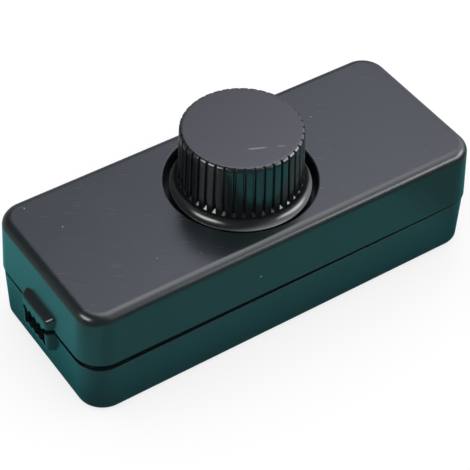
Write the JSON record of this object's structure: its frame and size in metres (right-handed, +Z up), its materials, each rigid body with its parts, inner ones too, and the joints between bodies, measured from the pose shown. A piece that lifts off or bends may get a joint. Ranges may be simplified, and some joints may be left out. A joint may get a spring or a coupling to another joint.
{
  "type": "rotary dimmer switch",
  "caption": "In-line rotary dimmer switch: a two-part black case with a cord inlet at each end and a ribbed knob on top that turns to set the light level.",
  "frame": {"origin": "centre of the case's underside, on the surface it rests on", "axes": "+X along the case towards the cord inlet that the seam closes at, +Y across it, +Z up along the knob's axis"},
  "size_m": [0.0874, 0.035, 0.0353],
  "materials": {
    "case_plastic": "black moulded plastic, semi-gloss, with light rub marks on top",
    "knob_plastic": "black moulded plastic, semi-gloss, ribbed side",
    "shaft_metal": "turned aluminium",
    "rotor_plastic": "black phenolic",
    "contact_brass": "plain spring brass",
    "steel": "zinc plated",
    "bush_metal": "plated die casting",
    "laminate": "brown paper laminate",
    "tinned": "tinned",
    "board": "green solder mask on laminate",
    "component_black": "black epoxy moulding with tinned tab and legs",
    "heat_sink": "plain sheet aluminium",
    "capacitor_yellow": "yellow boxed film capacitor",
    "capacitor_red": "dipped red film capacitor",
    "ferrite": "dark sintered ferrite",
    "copper": "enamelled copper wire",
    "diac_blue": "blue glass body",
    "resistor_beige": "beige lacquered body with colour rings",
    "fuse_glass": "clear glass tube",
    "terminal_plastic": "green nylon"
  },
  "bodies": {
    "housing": {"upper_cover": "case_plastic", "lower_cover": "case_plastic", "potentiometer_housing": "steel", "potentiometer_bushing": "bush_metal", "potentiometer_track": "laminate", "potentiometer_terminals": "tinned", "potentiometer_washer": "steel", "potentiometer_nut": "steel", "circuit_board": "board", "triac": "component_black", "heat_sink": "heat_sink", "triac_screw": "steel", "triac_nut": "steel", "suppression_capacitor": "capacitor_yellow", "timing_capacitor": "capacitor_red", "choke_core": "ferrite", "choke_winding": "copper", "diac": "diac_blue", "resistors": "resistor_beige", "fuse_tube": "fuse_glass", "fuse_caps": "tinned", "fuse_clips": "contact_brass", "input_terminal_block": "terminal_plastic", "output_terminal_block": "terminal_plastic", "terminal_clamps": "contact_brass", "terminal_screws": "steel", "board_screws": "steel", "case_screws": "steel"},
    "knob_assembly": {"knob": "knob_plastic", "potentiometer_shaft": "shaft_metal", "potentiometer_rotor": "rotor_plastic", "potentiometer_wiper": "contact_brass", "shaft_clip": "steel"}
  },
  "joints": [
    {"name": "knob_turn", "type": "hinge", "parent": "housing", "child": "knob_assembly", "pos_m": [0, 0, 0.0232], "axis": [0, 0, 1], "range_deg": [-150, 150]}
  ]
}
